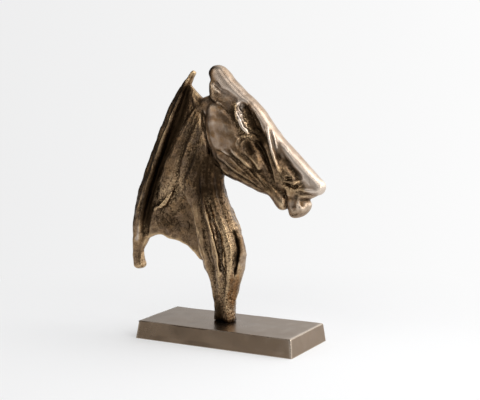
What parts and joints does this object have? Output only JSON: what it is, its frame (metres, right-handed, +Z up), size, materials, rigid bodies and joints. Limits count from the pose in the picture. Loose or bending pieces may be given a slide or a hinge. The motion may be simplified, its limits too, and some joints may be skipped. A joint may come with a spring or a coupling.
{
  "type": "horse head figurine",
  "caption": "Cast bronze-coloured horse's head with neck and mane sheet, narrowing to a stem that stands on a low rectangular plinth.",
  "frame": {"origin": "centre of the plinth's flat underside", "axes": "+X the way the horse looks, along the plinth's length; +Y to the horse's left, across the plinth; +Z up"},
  "size_m": [0.3748, 0.138, 0.4714],
  "materials": {
    "plinth_bronze": "satin bronze patina, brushed",
    "head_bronze": "antique bronze patina, dark hollows, worn ridges"
  },
  "bodies": {
    "root": {"plinth": "plinth_bronze", "horse_head": "head_bronze"}
  },
  "joints": []
}
